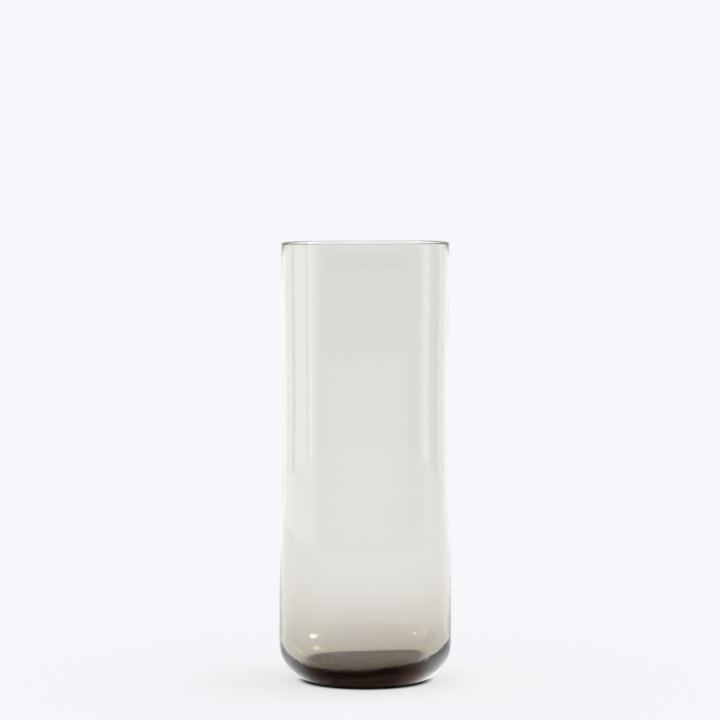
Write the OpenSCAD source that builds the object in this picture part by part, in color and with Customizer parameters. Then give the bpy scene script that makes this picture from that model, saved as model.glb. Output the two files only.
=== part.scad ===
// Free-blown glass cylinder vase. One continuous piece of tinted glass: a tall, faintly waisted
// wall, a fire-rounded lip, and a thick solid floor whose underside is ground flat.
// The origin is the centre of the ground flat, with +Z up the axis of the vase.

/* [Outside] */
// Overall height, from the ground flat to the top of the lip
height = 300; // [200:1:400]
// Outside diameter at the lip
lip_d = 114.5; // [104:0.5:130]
// Outside diameter at the waist, where the wall is narrowest
waist_d = 112.5; // [104:0.5:130]
// Outside diameter at the belly, just above the rounded foot
belly_d = 118; // [104:0.5:142]
// Height of the waist above the ground flat
waist_h = 190; // [80:1:190]

/* [Foot] */
// Radius that turns the wall into the underside
foot_round = 29; // [18:0.5:36]
// Depth that grinding took off the underside to make it flat
ground_depth = 1.6; // [0.5:0.1:4]

/* [Glass] */
// Wall thickness from the lip down to where the wall starts to swell
lip_wall = 2.1; // [1.5:0.1:4]
// Wall thickness at the top of the bowl, where the wall is thickest
belly_wall = 3.4; // [2.4:0.1:6]
// Height below which the wall swells
swell_top = 100; // [70:1:140]

/* [Bowl] */
// Thickness of the solid floor at its middle
floor_thickness = 9; // [6:0.5:20]
// Radius that turns the inside wall into the floor
bowl_round = 20; // [18:0.5:36]
// Slope of the dished floor where it meets that radius, in degrees
floor_dish = 3; // [1:0.5:8]

/* [Mouth] */
// Straight length inside the mouth, below the rounding of the lip
mouth_straight = 8; // [3:0.5:15]

/* [Hidden] */
smoke_tint = [0.62, 0.6, 0.56, 0.45];
$fn = 180;

// Numbers of straight steps in each curve of the section
wall_steps = 24;
foot_steps = 14;
bowl_steps = 14;
floor_steps = 6;
lip_steps = 10;

lip_r = lip_d / 2;
waist_r = waist_d / 2;
belly_r = belly_d / 2;
lip_round = lip_wall / 2;
mouth_r = lip_r - lip_wall;
mouth_bottom_z = height - lip_round - mouth_straight;

// Centre of the foot's rounding. The flat cuts its arc ground_depth above the lowest point.
foot_centre_r = belly_r - foot_round;
foot_centre_z = foot_round - ground_depth;
foot_end_angle = -asin(foot_centre_z / foot_round);

// The floor is a shallow dish, and its arc ends at floor_r with a slope of floor_dish. The
// bowl's rounding is tangent to the dish there, and to the inside wall.
bowl_centre_r = belly_r - belly_wall - bowl_round;
floor_r = bowl_centre_r + bowl_round * sin(floor_dish);
dish_round = floor_r / sin(floor_dish);
dish_rise = dish_round * (1 - cos(floor_dish));
bowl_centre_z = floor_thickness + dish_rise + bowl_round * cos(floor_dish);

// Smooth step from 0 to 1, level at both ends
function ease(t) = (1 - cos(180 * t)) / 2;

// How far z is between two heights, from 0 to 1
function share(z, low, high) = min(max((z - low) / (high - low), 0), 1);

// Outside radius of the wall at height z
function outer_r(z) =
    z < waist_h
        ? belly_r + (waist_r - belly_r) * ease(share(z, foot_centre_z, waist_h))
        : waist_r + (lip_r - waist_r) * ease(share(z, waist_h, height - lip_round));

// Thickness of the wall at height z, swelling faster and faster towards the bowl
function wall(z) = lip_wall + (belly_wall - lip_wall) * pow(1 - share(z, bowl_centre_z, swell_top), 2);

// Points of an arc about (r, z), from one angle to another, both ends included
function arc(r, z, radius, from, to, steps) =
    [for (i = [0:steps]) let (a = from + (to - from) * i / steps) [r + radius * cos(a), z + radius * sin(a)]];

// Heights in equal steps between two heights, both ends left out
function between(low, high, steps) = [for (i = [1:steps - 1]) low + (high - low) * i / steps];

// Half section of the glass, from the axis out along the flat, up the outside, over the lip,
// down the inside and back to the axis along the floor
module section() {
    outside_heights = between(foot_centre_z, height - lip_round, wall_steps);
    inside_heights = between(mouth_bottom_z, bowl_centre_z, wall_steps);
    floor_arc = arc(0, floor_thickness + dish_round, dish_round, floor_dish - 90, -90, floor_steps);
    polygon(concat(
        [[0, 0]],
        arc(foot_centre_r, foot_centre_z, foot_round, foot_end_angle, 0, foot_steps),
        [for (z = outside_heights) [outer_r(z), z]],
        arc(lip_r - lip_round, height - lip_round, lip_round, 0, 180, lip_steps),
        [[mouth_r, mouth_bottom_z]],
        [for (z = inside_heights) [outer_r(z) - wall(z), z]],
        arc(bowl_centre_r, bowl_centre_z, bowl_round, 0, floor_dish - 90, bowl_steps),
        [for (i = [1:floor_steps - 1]) floor_arc[i]],
        [[0, floor_thickness]]
    ));
}

// The whole vase, turned about its axis
module glass_vase() {
    color(smoke_tint)
        rotate_extrude()
            section();
}

glass_vase();
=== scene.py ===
import bpy
import math
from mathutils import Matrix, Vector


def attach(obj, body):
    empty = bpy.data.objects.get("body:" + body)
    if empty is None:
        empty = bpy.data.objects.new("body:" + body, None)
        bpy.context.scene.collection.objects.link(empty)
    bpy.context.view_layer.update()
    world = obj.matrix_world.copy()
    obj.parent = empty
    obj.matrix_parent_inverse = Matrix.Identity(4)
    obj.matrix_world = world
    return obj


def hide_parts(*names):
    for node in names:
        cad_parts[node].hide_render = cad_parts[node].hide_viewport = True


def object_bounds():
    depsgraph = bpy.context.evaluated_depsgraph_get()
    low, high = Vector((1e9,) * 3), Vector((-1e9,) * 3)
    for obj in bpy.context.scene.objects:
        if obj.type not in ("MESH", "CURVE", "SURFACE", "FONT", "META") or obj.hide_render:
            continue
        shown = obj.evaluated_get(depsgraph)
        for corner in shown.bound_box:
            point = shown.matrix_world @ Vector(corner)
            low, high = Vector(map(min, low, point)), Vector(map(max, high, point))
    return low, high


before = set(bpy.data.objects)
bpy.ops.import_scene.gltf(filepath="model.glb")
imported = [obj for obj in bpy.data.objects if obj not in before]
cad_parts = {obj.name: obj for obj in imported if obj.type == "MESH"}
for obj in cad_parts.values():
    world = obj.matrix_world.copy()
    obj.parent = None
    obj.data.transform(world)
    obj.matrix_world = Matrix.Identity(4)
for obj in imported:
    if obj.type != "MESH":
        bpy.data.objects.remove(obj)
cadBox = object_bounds()
vaseLow, vaseHigh = cadBox
vaseHeight = vaseHigh.z - vaseLow.z
bellyRadius = (vaseHigh.x - vaseLow.x) / 2
print("frame loaded, vase height", round(vaseHeight, 4))


def addMath(tree, operation, first, second):
    node = tree.nodes.new("ShaderNodeMath")
    node.operation = operation
    for socket, value in zip(node.inputs, (first, second)):
        if isinstance(value, (int, float)):
            socket.default_value = value
        else:
            tree.links.new(value, socket)
    return node.outputs[0]


def addStep(tree, value, low, high, toLow, toHigh):
    node = tree.nodes.new("ShaderNodeMapRange")
    node.interpolation_type = "SMOOTHSTEP"
    inputs = {"Value": value, "From Min": low, "From Max": high, "To Min": toLow, "To Max": toHigh}
    for name, item in inputs.items():
        if isinstance(item, (int, float)):
            node.inputs[name].default_value = item
        else:
            tree.links.new(item, node.inputs[name])
    return node.outputs["Result"]


def addVector(tree, operation, vector, fixed=(0, 0, 0)):
    node = tree.nodes.new("ShaderNodeVectorMath")
    node.operation = operation
    tree.links.new(vector, node.inputs[0])
    node.inputs[1].default_value = fixed
    return node.outputs["Vector" if operation == "MULTIPLY" else "Value"]


def addSplit(tree, vector):
    node = tree.nodes.new("ShaderNodeSeparateXYZ")
    tree.links.new(vector, node.inputs[0])
    return node.outputs


def addMix(tree, share, first, second):
    node = tree.nodes.new("ShaderNodeMixShader")
    if isinstance(share, float):
        node.inputs[0].default_value = share
    else:
        tree.links.new(share, node.inputs[0])
    tree.links.new(first, node.inputs[1])
    tree.links.new(second, node.inputs[2])
    return node.outputs[0]


glass = {
    "lipRadius": 0.05725,
    "waistRadius": 0.05625,      # the body is slimmest here
    "waistHeight": 0.19,
    "footRound": 0.029,          # outside corner between wall and underside
    "groundDepth": 0.0016,       # ground off the bottom to make it stand flat
    "lipWall": 0.0021,
    "bellyWall": 0.0034,
    "floorThickness": 0.009,
    "swellTop": 0.10,            # the wall thickens from here down to the bowl
    "bowlRound": 0.020,          # inside corner between wall and floor
    "floorDish": 3,              # degrees, the floor rises this steeply where it meets the corner
    "mouthStraight": 0.008,
    # where the hot glass settled unevenly: part, compass side, spread, rise, and how far round it eases
    "uneven": [("bowl", 90, 45, 0.0005, 0.06), ("bowl", -90, 45, -0.0015, 0.06),
               ("bowl", 0, 45, 0.0012, 0.06), ("rim", -90, 45, -0.0004, 0.10)],
    "bowlEdge": 0.04,            # only what lies further out in the bowl is pushed
    "facesUp": 0.1,              # and only where the surface looks up at least this much
    "turnSteps": 256,            # faces round the vase
    "wallSteps": 48,
    "cornerSteps": 24,
    "floorSteps": 12,
    "lipSteps": 12,
    "flatRings": (0, 0.33, 0.66, 0.99),    # shares of the ground flat's radius
    "seedSize": 0.01,            # the plane that is merged into the outline's first point
    "mergeGap": 0.00001,
    "sharpest": 15,              # degrees, edges sharper than this stay crisp
    "ior": 1.5,
    "clearColour": (0.57, 0.505, 0.345, 1),
    "density": 100,              # per metre, each channel takes one minus its colour times this
    "groundRoughness": 0.5,
    "groundLine": (0.0002, 0.0006),    # only the ground flat lies lower than this
    "wave": (0.05, 1),           # size of the noise and its detail
    "waveDepth": 0.0001,
    "ripple": (0.004, 3),
    "rippleDepth": 0.0001,
    "rippleLine": (0.007, 0.0085),     # heights between which the ripple fades in
    "rippleFade": (0.014, 0.035),      # and out again
}


def ease(t):
    t = min(max(t, 0), 1)
    return (1 - math.cos(math.pi * t)) / 2


def mix(a, b, t):
    return a + (b - a) * t


def outsideRadius(z):
    footTop = glass["footRound"] - glass["groundDepth"]
    lipBottom = vaseHeight - glass["lipWall"] / 2
    waist = glass["waistHeight"]
    if z < waist:
        return mix(bellyRadius, glass["waistRadius"], ease((z - footTop) / (waist - footTop)))
    return mix(glass["waistRadius"], glass["lipRadius"], ease((z - waist) / (lipBottom - waist)))


def wallThickness(z):
    bowlTop = bowlCentre()[1]
    drop = max((glass["swellTop"] - z) / (glass["swellTop"] - bowlTop), 0)
    return mix(glass["lipWall"], glass["bellyWall"], drop * drop)


def arcPoints(r, z, radius, start, end, steps):
    angles = [math.radians(mix(start, end, i / steps)) for i in range(steps + 1)]
    return [(r + radius * math.cos(a), z + radius * math.sin(a)) for a in angles]


def bowlCentre():
    g = glass
    dish = math.radians(g["floorDish"])
    bowlR = bellyRadius - g["bellyWall"] - g["bowlRound"]
    rise = (bowlR + g["bowlRound"] * math.sin(dish)) * math.tan(dish / 2)
    return bowlR, g["floorThickness"] + rise + g["bowlRound"] * math.cos(dish)


def vaseProfile():
    g = glass
    footR, footZ = bellyRadius - g["footRound"], g["footRound"] - g["groundDepth"]
    flatAngle = -math.degrees(math.asin(footZ / g["footRound"]))
    outer = arcPoints(footR, footZ, g["footRound"], flatAngle, 0, g["cornerSteps"])
    lipR = g["lipWall"] / 2
    lipZ = vaseHeight - lipR
    heights = [mix(footZ, lipZ, i / g["wallSteps"]) for i in range(1, g["wallSteps"])]
    outer += [(outsideRadius(z), z) for z in heights]
    lip = arcPoints(g["lipRadius"] - lipR, lipZ, lipR, 0, 180, g["lipSteps"])
    mouthZ = lipZ - g["mouthStraight"]
    bowlR, bowlZ = bowlCentre()
    heights = [mix(mouthZ, bowlZ, ease(i / g["wallSteps"])) for i in range(1, g["wallSteps"])]
    inner = [(g["lipRadius"] - g["lipWall"], mouthZ)]
    inner += [(outsideRadius(z) - wallThickness(z), z) for z in heights]
    inner += arcPoints(bowlR, bowlZ, g["bowlRound"], 0, g["floorDish"] - 90, g["cornerSteps"])
    dishRadius = inner[-1][0] / math.sin(math.radians(g["floorDish"]))
    dishZ = g["floorThickness"] + dishRadius
    floor = arcPoints(0, dishZ, dishRadius, g["floorDish"] - 90, -90, g["floorSteps"])[1:]
    underside = [(outer[0][0] * k, 0) for k in g["flatRings"]]
    return underside + outer + lip + inner + floor


def blowVase():
    points = vaseProfile()
    bpy.ops.object.select_all(action="DESELECT")
    bpy.ops.mesh.primitive_plane_add(size=glass["seedSize"])
    vase = bpy.context.object
    vase.name = vase.data.name = "glassVase"
    bpy.ops.object.mode_set(mode="EDIT")
    bpy.ops.mesh.merge(type="CENTER")
    bpy.ops.transform.translate(value=(points[0][0], 0, points[0][1]))
    for (r0, z0), (r1, z1) in zip(points, points[1:]):
        bpy.ops.mesh.extrude_region_move(TRANSFORM_OT_translate={"value": (r1 - r0, 0, z1 - z0)})
    bpy.ops.mesh.select_all(action="SELECT")
    bpy.ops.mesh.spin(steps=glass["turnSteps"], angle=2 * math.pi, center=(0, 0, 0), axis=(0, 0, 1))
    bpy.ops.mesh.select_all(action="SELECT")
    bpy.ops.mesh.remove_doubles(threshold=glass["mergeGap"])
    bpy.ops.mesh.normals_make_consistent(inside=False)
    bpy.ops.mesh.faces_shade_smooth()
    bpy.ops.object.mode_set(mode="OBJECT")
    for part, side, spread, rise, reach in glass["uneven"]:
        pushPart(vase, part, side, spread, rise, reach)
    bpy.ops.object.shade_smooth_by_angle(angle=math.radians(glass["sharpest"]))
    return vase


def isPushed(vertex, part, side, spread):
    x, y, z = vertex.co
    if part == "rim":
        inPart = z > vaseHeight - glass["mouthStraight"]
    else:
        inBowl = z < bowlCentre()[1] and math.hypot(x, y) > glass["bowlEdge"]
        inPart = inBowl and vertex.normal.z > glass["facesUp"]
    turn = math.degrees(math.atan2(x, y)) - side
    return inPart and abs((turn + 180) % 360 - 180) < spread


def pushPart(piece, part, side, spread, rise, reach):
    bpy.ops.object.mode_set(mode="EDIT")
    bpy.ops.mesh.select_mode(type="VERT")
    bpy.ops.mesh.select_all(action="DESELECT")
    bpy.ops.object.mode_set(mode="OBJECT")
    for vertex in piece.data.vertices:
        vertex.select = isPushed(vertex, part, side, spread)
    bpy.ops.object.mode_set(mode="EDIT")
    bpy.ops.transform.translate(value=(0, 0, rise), use_proportional_edit=True,
                                use_proportional_connected=True,
                                proportional_edit_falloff="SMOOTH", proportional_size=reach)
    bpy.ops.mesh.select_all(action="DESELECT")
    bpy.ops.object.mode_set(mode="OBJECT")


def addNoise(tree, place, size, detail):
    node = tree.nodes.new("ShaderNodeTexNoise")
    node.inputs["Scale"].default_value = 1 / size
    node.inputs["Detail"].default_value = detail
    tree.links.new(place, node.inputs["Vector"])
    return node.outputs[0]


def smokeGlass():
    material = bpy.data.materials.new("smokeGlass")
    material.use_nodes = True
    tree = material.node_tree
    nodes, links = tree.nodes, tree.links
    shader = nodes["Principled BSDF"]
    shader.inputs["Base Color"].default_value = (1, 1, 1, 1)
    shader.inputs["Transmission Weight"].default_value = 1
    shader.inputs["IOR"].default_value = glass["ior"]
    place = nodes.new("ShaderNodeTexCoord").outputs["Object"]
    height = addSplit(tree, place)["Z"]
    roughness = addStep(tree, height, *glass["groundLine"], glass["groundRoughness"], 0)
    links.new(roughness, shader.inputs["Roughness"])

    # slow waves up the wall, and a closer ripple in the bowl where the glass set thick
    isBowl = addStep(tree, height, *glass["rippleLine"], 0, 1)
    isBowl = addMath(tree, "MULTIPLY", isBowl, addStep(tree, height, *glass["rippleFade"], 1, 0))
    waves = addMath(tree, "MULTIPLY", addNoise(tree, place, *glass["wave"]), glass["waveDepth"])
    ripple = addMath(tree, "MULTIPLY", addNoise(tree, place, *glass["ripple"]), glass["rippleDepth"])
    relief = addMath(tree, "ADD", waves, addMath(tree, "MULTIPLY", ripple, isBowl))
    bump = nodes.new("ShaderNodeBump")
    bump.inputs["Distance"].default_value = 1    # the relief is in metres already
    links.new(relief, bump.inputs["Height"])
    links.new(bump.outputs["Normal"], shader.inputs["Normal"])

    tint = nodes.new("ShaderNodeVolumeAbsorption")
    tint.inputs["Color"].default_value = glass["clearColour"]
    tint.inputs["Density"].default_value = glass["density"]
    links.new(tint.outputs["Volume"], nodes["Material Output"].inputs["Volume"])
    return material


vase = blowVase()
vase.data.materials.append(smokeGlass())
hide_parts("glass_vase")
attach(vase, "root")
print("vase blown,", len(vase.data.polygons), "faces")

studio = {
    "backdrop": (0.922, 0.930, 0.965, 1),
    "mirrored": (0.905, 0.925, 0.93, 1),    # colour of what the glass mirrors
    "warm": (0.95, 0.84, 0.76, 1),          # of the backdrop above the table, mirrored
    "plumReflection": (1.0, 0.60, 0.55, 1),           # painted reflection colour of the table close in front
    # brightness mirrored in the glass by compass direction: 0 backdrop, minus to the left, 180 front
    "nearBands": [(-180, 0.1), (-130, 0.2), (-116, 0.8), (-98, 1.5), (-60, 1.4), (-35, 1.3),
                  (0, 1.25), (35, 1.25), (60, 1.0), (80, 1.2), (98, 0.8),
                  (116, 0.5), (130, 0.2), (180, 0.1)],
    "farBands": [(-180, 0.1), (-130, 0.2), (-115, 0.5), (-95, 0.7), (-84, 2.0), (-75, 2.2), (-70, 0.5),
                 (-46, 0.5), (-38, 1.5), (0, 1.0), (40, 1.2), (43, 0.1), (50, 0.1), (53, 1.5), (82, 1.7),
                 (84, 0.3), (87, 0.3), (89, 2.6), (94, 1.6), (108, 0.8), (126, 0.2), (180, 0.1)],
    "farDepth": 3,               # the far bands show once light has passed more glass surfaces than this
    "lowFront": 0.8,             # the front is lighter below eye level
    "lowLine": (-0.05, -0.03),
    "frontSide": (-0.2, -0.5),
    "aboveBack": (0.8, 1.1),     # the backdrop is darker just over the table, lighter higher up
    "aboveRise": (0.07, 0.26),
    "aboveLine": (0.0, 0.04),
    "backSide": (0.5, 0.8),
    "ceiling": 0.3,
    "ceilingLine": (0.35, 0.8),
    # soft lights mirrored in the bowl: compass side, height in degrees, half width, level
    "keys": [(92, 22, 8, 120), (-95, 24, 3, 30)],
    "keyEdge": (1.1, 0.9),       # shares of the half width between which a soft light fades
}


def addCompass(tree, x, y):
    turn = addMath(tree, "DIVIDE", addMath(tree, "ARCTAN2", x, y), 2 * math.pi)
    return addMath(tree, "ADD", turn, 0.5)    # 0.5 is the backdrop, 0 and 1 the front


def addBands(tree, value, stops):
    node = tree.nodes.new("ShaderNodeFloatCurve")
    low, high = stops[0][0], stops[-1][0]
    top = max(level for place, level in stops)
    curve = node.mapping.curves[0]
    while len(curve.points) < len(stops):
        curve.points.new(0.5, 0.5)    # placed below
    for point, (place, level) in zip(curve.points, stops):
        point.location = ((place - low) / (high - low), level / top)
        point.handle_type = "VECTOR"
    node.mapping.update()
    tree.links.new(value, node.inputs["Value"])
    return addMath(tree, "MULTIPLY", node.outputs[0], top)


def addKey(tree, direction, side, height, halfWidth, strength):
    side, height, halfWidth = (math.radians(angle) for angle in (side, height, halfWidth))
    flat = math.cos(height)
    towards = (math.sin(side) * flat, math.cos(side) * flat, math.sin(height))
    edge = [math.cos(halfWidth * share) for share in studio["keyEdge"]]
    return addStep(tree, addVector(tree, "DOT_PRODUCT", direction, towards), *edge, 0, strength)


def addGlow(tree, kind, level, colour):
    node = tree.nodes.new(kind)
    node.inputs["Color"].default_value = studio[colour]
    tree.links.new(level, node.inputs["Strength"])
    return node.outputs[0]


def isMirrored(tree):
    path = tree.nodes.new("ShaderNodeLightPath")
    return addMath(tree, "GREATER_THAN", path.outputs["Glossy Depth"], 0)


def buildStudio():
    world = bpy.data.worlds.new("studio")
    bpy.context.scene.world = world
    world.use_nodes = True
    tree = world.node_tree
    direction = tree.nodes.new("ShaderNodeTexCoord").outputs["Generated"]
    x, y, z = addSplit(tree, direction)
    compass = addCompass(tree, x, y)
    near = addBands(tree, compass, studio["nearBands"])
    far = addBands(tree, compass, studio["farBands"])
    passed = tree.nodes.new("ShaderNodeLightPath").outputs["Transmission Depth"]
    isFar = addMath(tree, "GREATER_THAN", passed, studio["farDepth"])
    high = addStep(tree, isFar, 0, 1, near, far)
    low = addStep(tree, y, *studio["frontSide"], high, studio["lowFront"])
    level = addStep(tree, z, *studio["lowLine"], low, high)
    isAbove = addStep(tree, z, *studio["aboveLine"], 0, 1)
    isAbove = addMath(tree, "MULTIPLY", isAbove, addStep(tree, y, *studio["backSide"], 0, 1))
    above = addStep(tree, z, *studio["aboveRise"], *studio["aboveBack"])
    level = addStep(tree, isAbove, 0, 1, level, above)
    level = addStep(tree, z, *studio["ceilingLine"], level, studio["ceiling"])
    for side, height, halfWidth, strength in studio["keys"]:
        level = addMath(tree, "ADD", level, addKey(tree, direction, side, height, halfWidth, strength))

    plain = tree.nodes["Background"]
    plain.inputs["Color"].default_value = studio["backdrop"]
    cool = addGlow(tree, "ShaderNodeBackground", level, "mirrored")
    warm = addGlow(tree, "ShaderNodeBackground", level, "warm")
    look = addMix(tree, isMirrored(tree), plain.outputs[0], addMix(tree, isAbove, cool, warm))
    tree.links.new(look, tree.nodes["World Output"].inputs["Surface"])


buildStudio()
print("studio lit")

tableLook = {
    "radius": 1.2,
    "sides": 96,
    "colour": (1.03, 1.02, 0.99),    # a little brighter and warmer close to the vase
    "colourFade": (0.07, 0.16),
    "shade": 0.94,               # painted soft shadow off to the left
    "shadeCentre": (-0.03, -0.01, 0),
    "shadeFade": (0.03, 0.13),
    "gap": 0.0002,               # air left under the ground flat
    "glow": 0.72,                # share of its light that cast shadows can't take; the painted shadows still darken it
    "shadow": (0.040, 0.048),    # painted shadow under the vase, seen straight
    "deepShadow": (0.044, 0.056),    # painted shadow under the vase, seen through the glass
    "squeeze": (1.12, 0.95, 1),      # there it is narrower across than from front to back
    "mirrorShadow": (0.040, 0.045),    # painted shadow under the vase, mirrored in the glass
    "paintedShadowTint": (0.844, 0.827, 0.77),    # painted tinted shadow of the vase close to it, seen through the glass
    "paintedShadowTintFade": (0.1, 0.45),
    # painted reflection: brightness the table glows with in the glass close to the vase, by compass
    # direction
    "mirrorBands": [(-180, 0.12), (-150, 0.12), (-143, 0.2), (-127, 0.45), (-117, 0.9), (-105, 1.3),
                    (-85, 1.5), (-60, 1.2), (-30, 0.0), (30, 0.0), (60, 1.5), (85, 2.0), (110, 2.0),
                    (120, 1.5), (128, 1.0), (134, 0.7), (143, 0.4), (152, 0.2), (165, 0.12), (180, 0.12)],
    # and further from it
    "mirrorFar": [(-180, 1.1), (-42, 1.1), (-25, 1.25), (25, 1.25), (42, 1.1), (180, 1.1)],
    "plumLine": (-0.045, -0.02),     # painted reddish reflection in front of this line
    "plumFade": (0.065, 0.09),       # and no further from the vase's middle than this
    "mirrorFade": (0.06, 0.16),      # from mirrorBands to mirrorFar
}


def tableTop(tree, place, distance):
    look = tableLook
    seen = tree.nodes.new("ShaderNodeLightPath").outputs["Is Camera Ray"]
    isThrough = addMath(tree, "SUBTRACT", 1, seen)
    # painted soft shadow off to the left of the vase
    aside = addVector(tree, "DISTANCE", place, look["shadeCentre"])
    shade = addStep(tree, aside, *look["shadeFade"], look["shade"], 1)
    # painted shadow under the vase, seen straight
    straight = addMath(tree, "MULTIPLY", addStep(tree, distance, *look["shadow"], 0, 1), shade)
    # painted shadow under the vase, seen through the glass, narrower across
    squeezed = addVector(tree, "DISTANCE", addVector(tree, "MULTIPLY", place, look["squeeze"]))
    through = addStep(tree, squeezed, *look["deepShadow"], 0, 1)
    level = addStep(tree, isThrough, 0, 1, straight, through)
    tint = tree.nodes.new("ShaderNodeCombineColor")
    # painted tinted shadow close to the vase, seen through the glass
    for socket, near, paintedShadowTint in zip(tint.inputs, look["colour"], look["paintedShadowTint"]):
        near = addStep(tree, distance, *look["colourFade"], near, 1)
        paintedShadowTint = addStep(tree, distance, *look["paintedShadowTintFade"], paintedShadowTint, 1)
        share = addStep(tree, isThrough, 0, 1, near, paintedShadowTint)
        tree.links.new(addMath(tree, "MULTIPLY", level, share), socket)
    matte = tree.nodes.new("ShaderNodeBsdfDiffuse")
    tree.links.new(tint.outputs[0], matte.inputs["Color"])
    # the glow carries the same painted shadows as the matte part
    lit = tree.nodes.new("ShaderNodeEmission")
    glow = addVector(tree, "MULTIPLY", tint.outputs[0], studio["backdrop"][:3])
    tree.links.new(glow, lit.inputs["Color"])
    return addMix(tree, look["glow"], matte.outputs[0], lit.outputs[0])


# painted reflection: the table glows with these levels and colours only where the glass mirrors it
def tableMirror(tree, place, distance):
    look = tableLook
    split = addSplit(tree, place)
    compass = addCompass(tree, split["X"], split["Y"])
    near = addBands(tree, compass, look["mirrorBands"])
    far = addBands(tree, compass, look["mirrorFar"])
    level = addStep(tree, distance, *look["mirrorFade"], near, far)
    # painted shadow under the vase in the mirrored table
    level = addMath(tree, "MULTIPLY", level, addStep(tree, distance, *look["mirrorShadow"], 0, 1))
    isClear = addMath(tree, "MAXIMUM", addStep(tree, split["Y"], *look["plumLine"], 0, 1),
                      addStep(tree, distance, *look["plumFade"], 0, 1))
    # painted reddish reflection of the table close in front
    plumReflection = addGlow(tree, "ShaderNodeEmission", level, "plumReflection")
    clear = addGlow(tree, "ShaderNodeEmission", level, "mirrored")
    return addMix(tree, isClear, plumReflection, clear)


def buildTable():
    bpy.ops.object.select_all(action="DESELECT")
    bpy.ops.mesh.primitive_circle_add(vertices=tableLook["sides"], radius=tableLook["radius"],
                                      fill_type="NGON", location=(0, 0, -tableLook["gap"]))
    table = bpy.context.object
    table.name = "table"
    material = bpy.data.materials.new("tableTop")
    material.use_nodes = True
    tree = material.node_tree
    tree.nodes.remove(tree.nodes["Principled BSDF"])
    place = tree.nodes.new("ShaderNodeTexCoord").outputs["Object"]
    distance = addVector(tree, "DISTANCE", place)
    top = tableTop(tree, place, distance)
    mirror = tableMirror(tree, place, distance)
    look = addMix(tree, isMirrored(tree), top, mirror)
    tree.links.new(look, tree.nodes["Material Output"].inputs["Surface"])
    table.data.materials.append(material)


buildTable()
print("table laid")

view = {
    "place": (-0.0036, -2.179, 0.352),
    "lookDown": 3.48,            # degrees
    "lens": 160,
    "sensorWidth": 36,
    "clipEnd": 50,
    "bounces": 24,               # deep enough for light that runs round inside the glass
    "glossyBounces": 16,
}


def placeCamera():
    bpy.ops.object.camera_add(location=view["place"],
                              rotation=(math.radians(90 - view["lookDown"]), 0, 0))
    camera = bpy.context.object
    camera.data.lens = view["lens"]
    camera.data.sensor_width = view["sensorWidth"]
    camera.data.clip_end = view["clipEnd"]
    return camera


scene = bpy.context.scene
scene.camera = placeCamera()
scene.view_settings.view_transform = "Standard"
scene.cycles.max_bounces = view["bounces"]
scene.cycles.transmission_bounces = view["bounces"]
scene.cycles.glossy_bounces = view["glossyBounces"]
print("camera placed")
